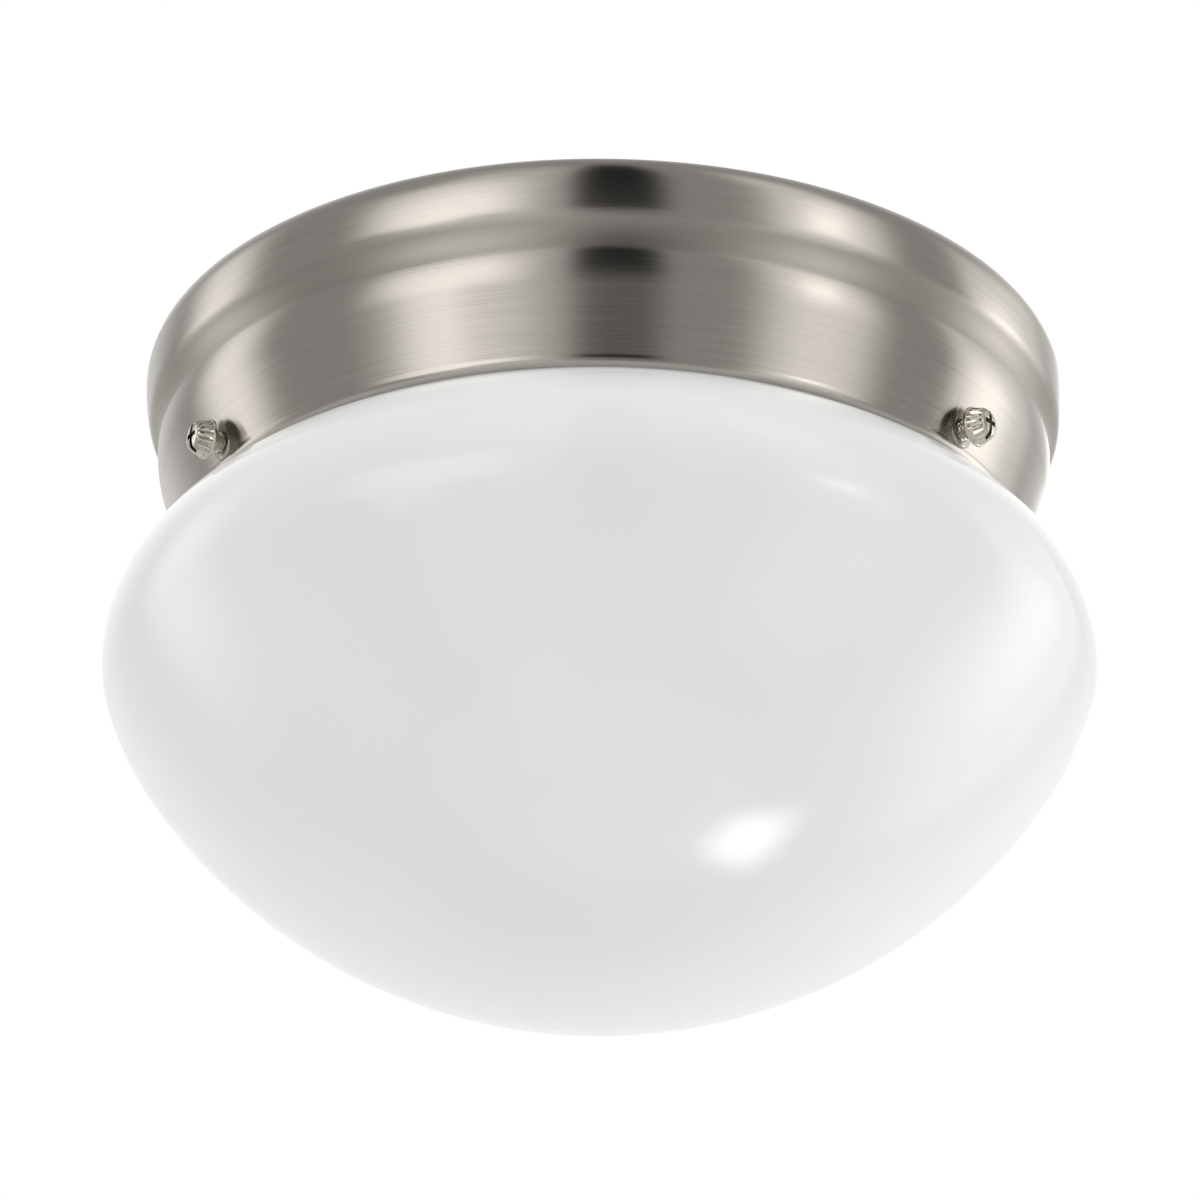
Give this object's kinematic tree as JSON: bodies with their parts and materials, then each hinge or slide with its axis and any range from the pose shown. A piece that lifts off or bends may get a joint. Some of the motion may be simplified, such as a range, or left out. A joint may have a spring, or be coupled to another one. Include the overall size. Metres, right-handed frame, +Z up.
{
  "type": "flush mount ceiling light",
  "caption": "Round flush mount ceiling light: a stepped brushed metal pan with a bowl shaped opal glass shade held by thumbscrews around a horizontal lamp.",
  "frame": {"origin": "middle of the mounting strap's upper face, in the ceiling plane, on the light's axis", "axes": "+Z up at the ceiling along the light's axis; the strap and its slots run along Y; the lamp lies along X with its tip at +X; the front with two thumbscrews is -Y"},
  "size_m": [0.1906, 0.1906, 0.1306],
  "materials": {
    "pan_nickel": "satin nickel plate on steel, brushed around the axis",
    "pad_fibre": "pale glass fibre felt",
    "strap_zinc": "zinc plated steel",
    "screw_nickel": "nickel plated steel",
    "thumbscrew_nickel": "bright nickel plate on brass",
    "ground_green": "green finish on steel",
    "bushing_plastic": "black nylon",
    "porcelain": "white glazed porcelain",
    "sleeve_brass": "drawn brass",
    "terminal_brass": "brass",
    "terminal_nickel": "nickel plated brass",
    "opal_glass": "glossy white opal glass",
    "lamp_frost": "frosted glass",
    "lamp_clear": "clear glass",
    "lamp_cap_metal": "nickel plated cap",
    "lamp_black": "black glass insulator",
    "lamp_solder": "solder button",
    "filament_wire": "tungsten and nickel wire"
  },
  "bodies": {
    "canopy": {"canopy_pan": "pan_nickel", "insulation_pad": "pad_fibre", "mounting_strap": "strap_zinc", "canopy_screws": "screw_nickel", "ground_screw": "ground_green", "wire_bushing": "bushing_plastic", "socket_bracket": "strap_zinc", "bracket_rivets": "screw_nickel", "socket_body": "porcelain", "socket_sleeve": "sleeve_brass", "socket_contact": "sleeve_brass", "hot_terminal_screw": "terminal_brass", "neutral_terminal_screw": "terminal_nickel", "socket_screw": "screw_nickel"},
    "shade": {"glass_shade": "opal_glass"},
    "lamp": {"lamp_glass": "lamp_frost", "lamp_cap": "lamp_cap_metal", "lamp_insulator": "lamp_black", "lamp_contact": "lamp_solder", "lamp_stem": "lamp_clear", "lamp_filament": "filament_wire"},
    "thumbscrew_left": {"thumbscrew_left": "thumbscrew_nickel"},
    "thumbscrew_right": {"thumbscrew_right": "thumbscrew_nickel"},
    "thumbscrew_rear": {"thumbscrew_rear": "thumbscrew_nickel"}
  },
  "joints": [
    {"name": "shade_lower", "type": "slide", "parent": "canopy", "child": "shade", "axis": [0, 0, -1], "range_m": [0, 0.12]},
    {"name": "lamp_turn", "type": "hinge", "parent": "canopy", "child": "lamp", "pos_m": [0, 0, -0.045], "axis": [1, 0, 0], "continuous": true},
    {"name": "thumbscrew_left_travel", "type": "slide", "parent": "canopy", "child": "thumbscrew_left", "axis": [-0.8746, -0.4848, 0], "range_m": [0, 0.004]},
    {"name": "thumbscrew_right_travel", "type": "slide", "parent": "canopy", "child": "thumbscrew_right", "axis": [0.8131, -0.5821, 0], "range_m": [0, 0.004]},
    {"name": "thumbscrew_rear_travel", "type": "slide", "parent": "canopy", "child": "thumbscrew_rear", "axis": [0.0576, 0.9983, 0], "range_m": [0, 0.004]}
  ]
}
